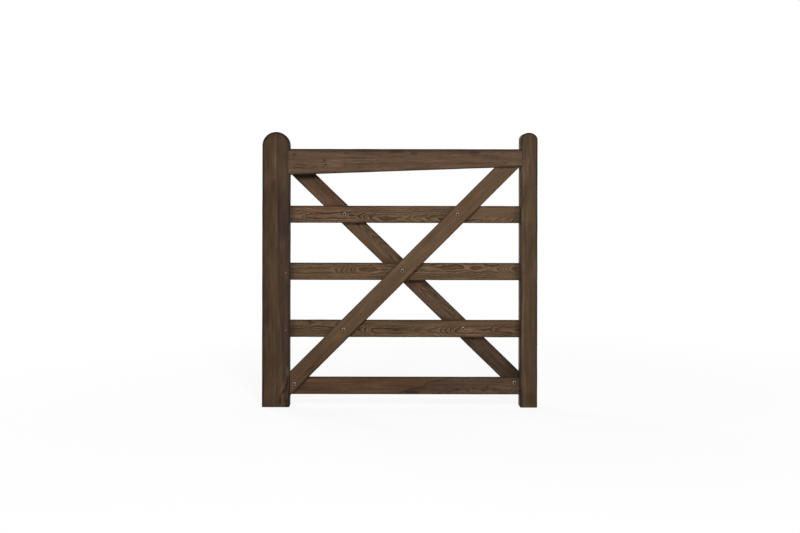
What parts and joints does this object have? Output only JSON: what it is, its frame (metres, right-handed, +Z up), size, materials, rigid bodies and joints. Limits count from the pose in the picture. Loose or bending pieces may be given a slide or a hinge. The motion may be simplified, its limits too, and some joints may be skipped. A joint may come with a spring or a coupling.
{
  "type": "wooden gate",
  "caption": "Square timber gate leaf: arched stiles, tenoned cross rails under a tapered top rail, and crossed diagonal braces bolted front and back, ready to hang on hinges.",
  "frame": {"origin": "on the ground, midway between the stiles' outer edges and midway through their depth", "axes": "+X from the hanging stile to the closing stile, +Y from the front to the back, +Z up"},
  "size_m": [1.2, 0.07, 1.1999],
  "materials": {
    "stained_softwood": "planed softwood with a translucent brown stain, satin",
    "dowel_timber": "dowel end grain under a thin coat of the same stain",
    "zinc_plated_steel": "zinc-plated steel, dulled"
  },
  "bodies": {
    "root": {"hanging_stile": "stained_softwood", "closing_stile": "stained_softwood", "top_rail": "stained_softwood", "second_rail": "stained_softwood", "middle_rail": "stained_softwood", "lower_rail": "stained_softwood", "bottom_rail": "stained_softwood", "front_brace": "stained_softwood", "back_brace": "stained_softwood", "bolt_bottom_rail_left": "zinc_plated_steel", "bolt_bottom_rail_right": "zinc_plated_steel", "bolt_lower_rail_left": "zinc_plated_steel", "bolt_lower_rail_right": "zinc_plated_steel", "bolt_middle_rail": "zinc_plated_steel", "bolt_second_rail_left": "zinc_plated_steel", "bolt_second_rail_right": "zinc_plated_steel", "pin_bottom_rail_closing": "dowel_timber", "pin_bottom_rail_hanging": "dowel_timber", "pin_lower_rail_closing": "dowel_timber", "pin_lower_rail_hanging": "dowel_timber", "pin_middle_rail_closing": "dowel_timber", "pin_middle_rail_hanging": "dowel_timber", "pin_second_rail_closing": "dowel_timber", "pin_second_rail_hanging": "dowel_timber", "pin_top_rail_closing_lower": "dowel_timber", "pin_top_rail_closing_upper": "dowel_timber", "pin_top_rail_hanging_lower": "dowel_timber", "pin_top_rail_hanging_upper": "dowel_timber", "sleeve_nut_bottom_rail_left": "zinc_plated_steel", "sleeve_nut_bottom_rail_right": "zinc_plated_steel", "sleeve_nut_lower_rail_left": "zinc_plated_steel", "sleeve_nut_lower_rail_right": "zinc_plated_steel", "sleeve_nut_middle_rail": "zinc_plated_steel", "sleeve_nut_second_rail_left": "zinc_plated_steel", "sleeve_nut_second_rail_right": "zinc_plated_steel"}
  },
  "joints": []
}
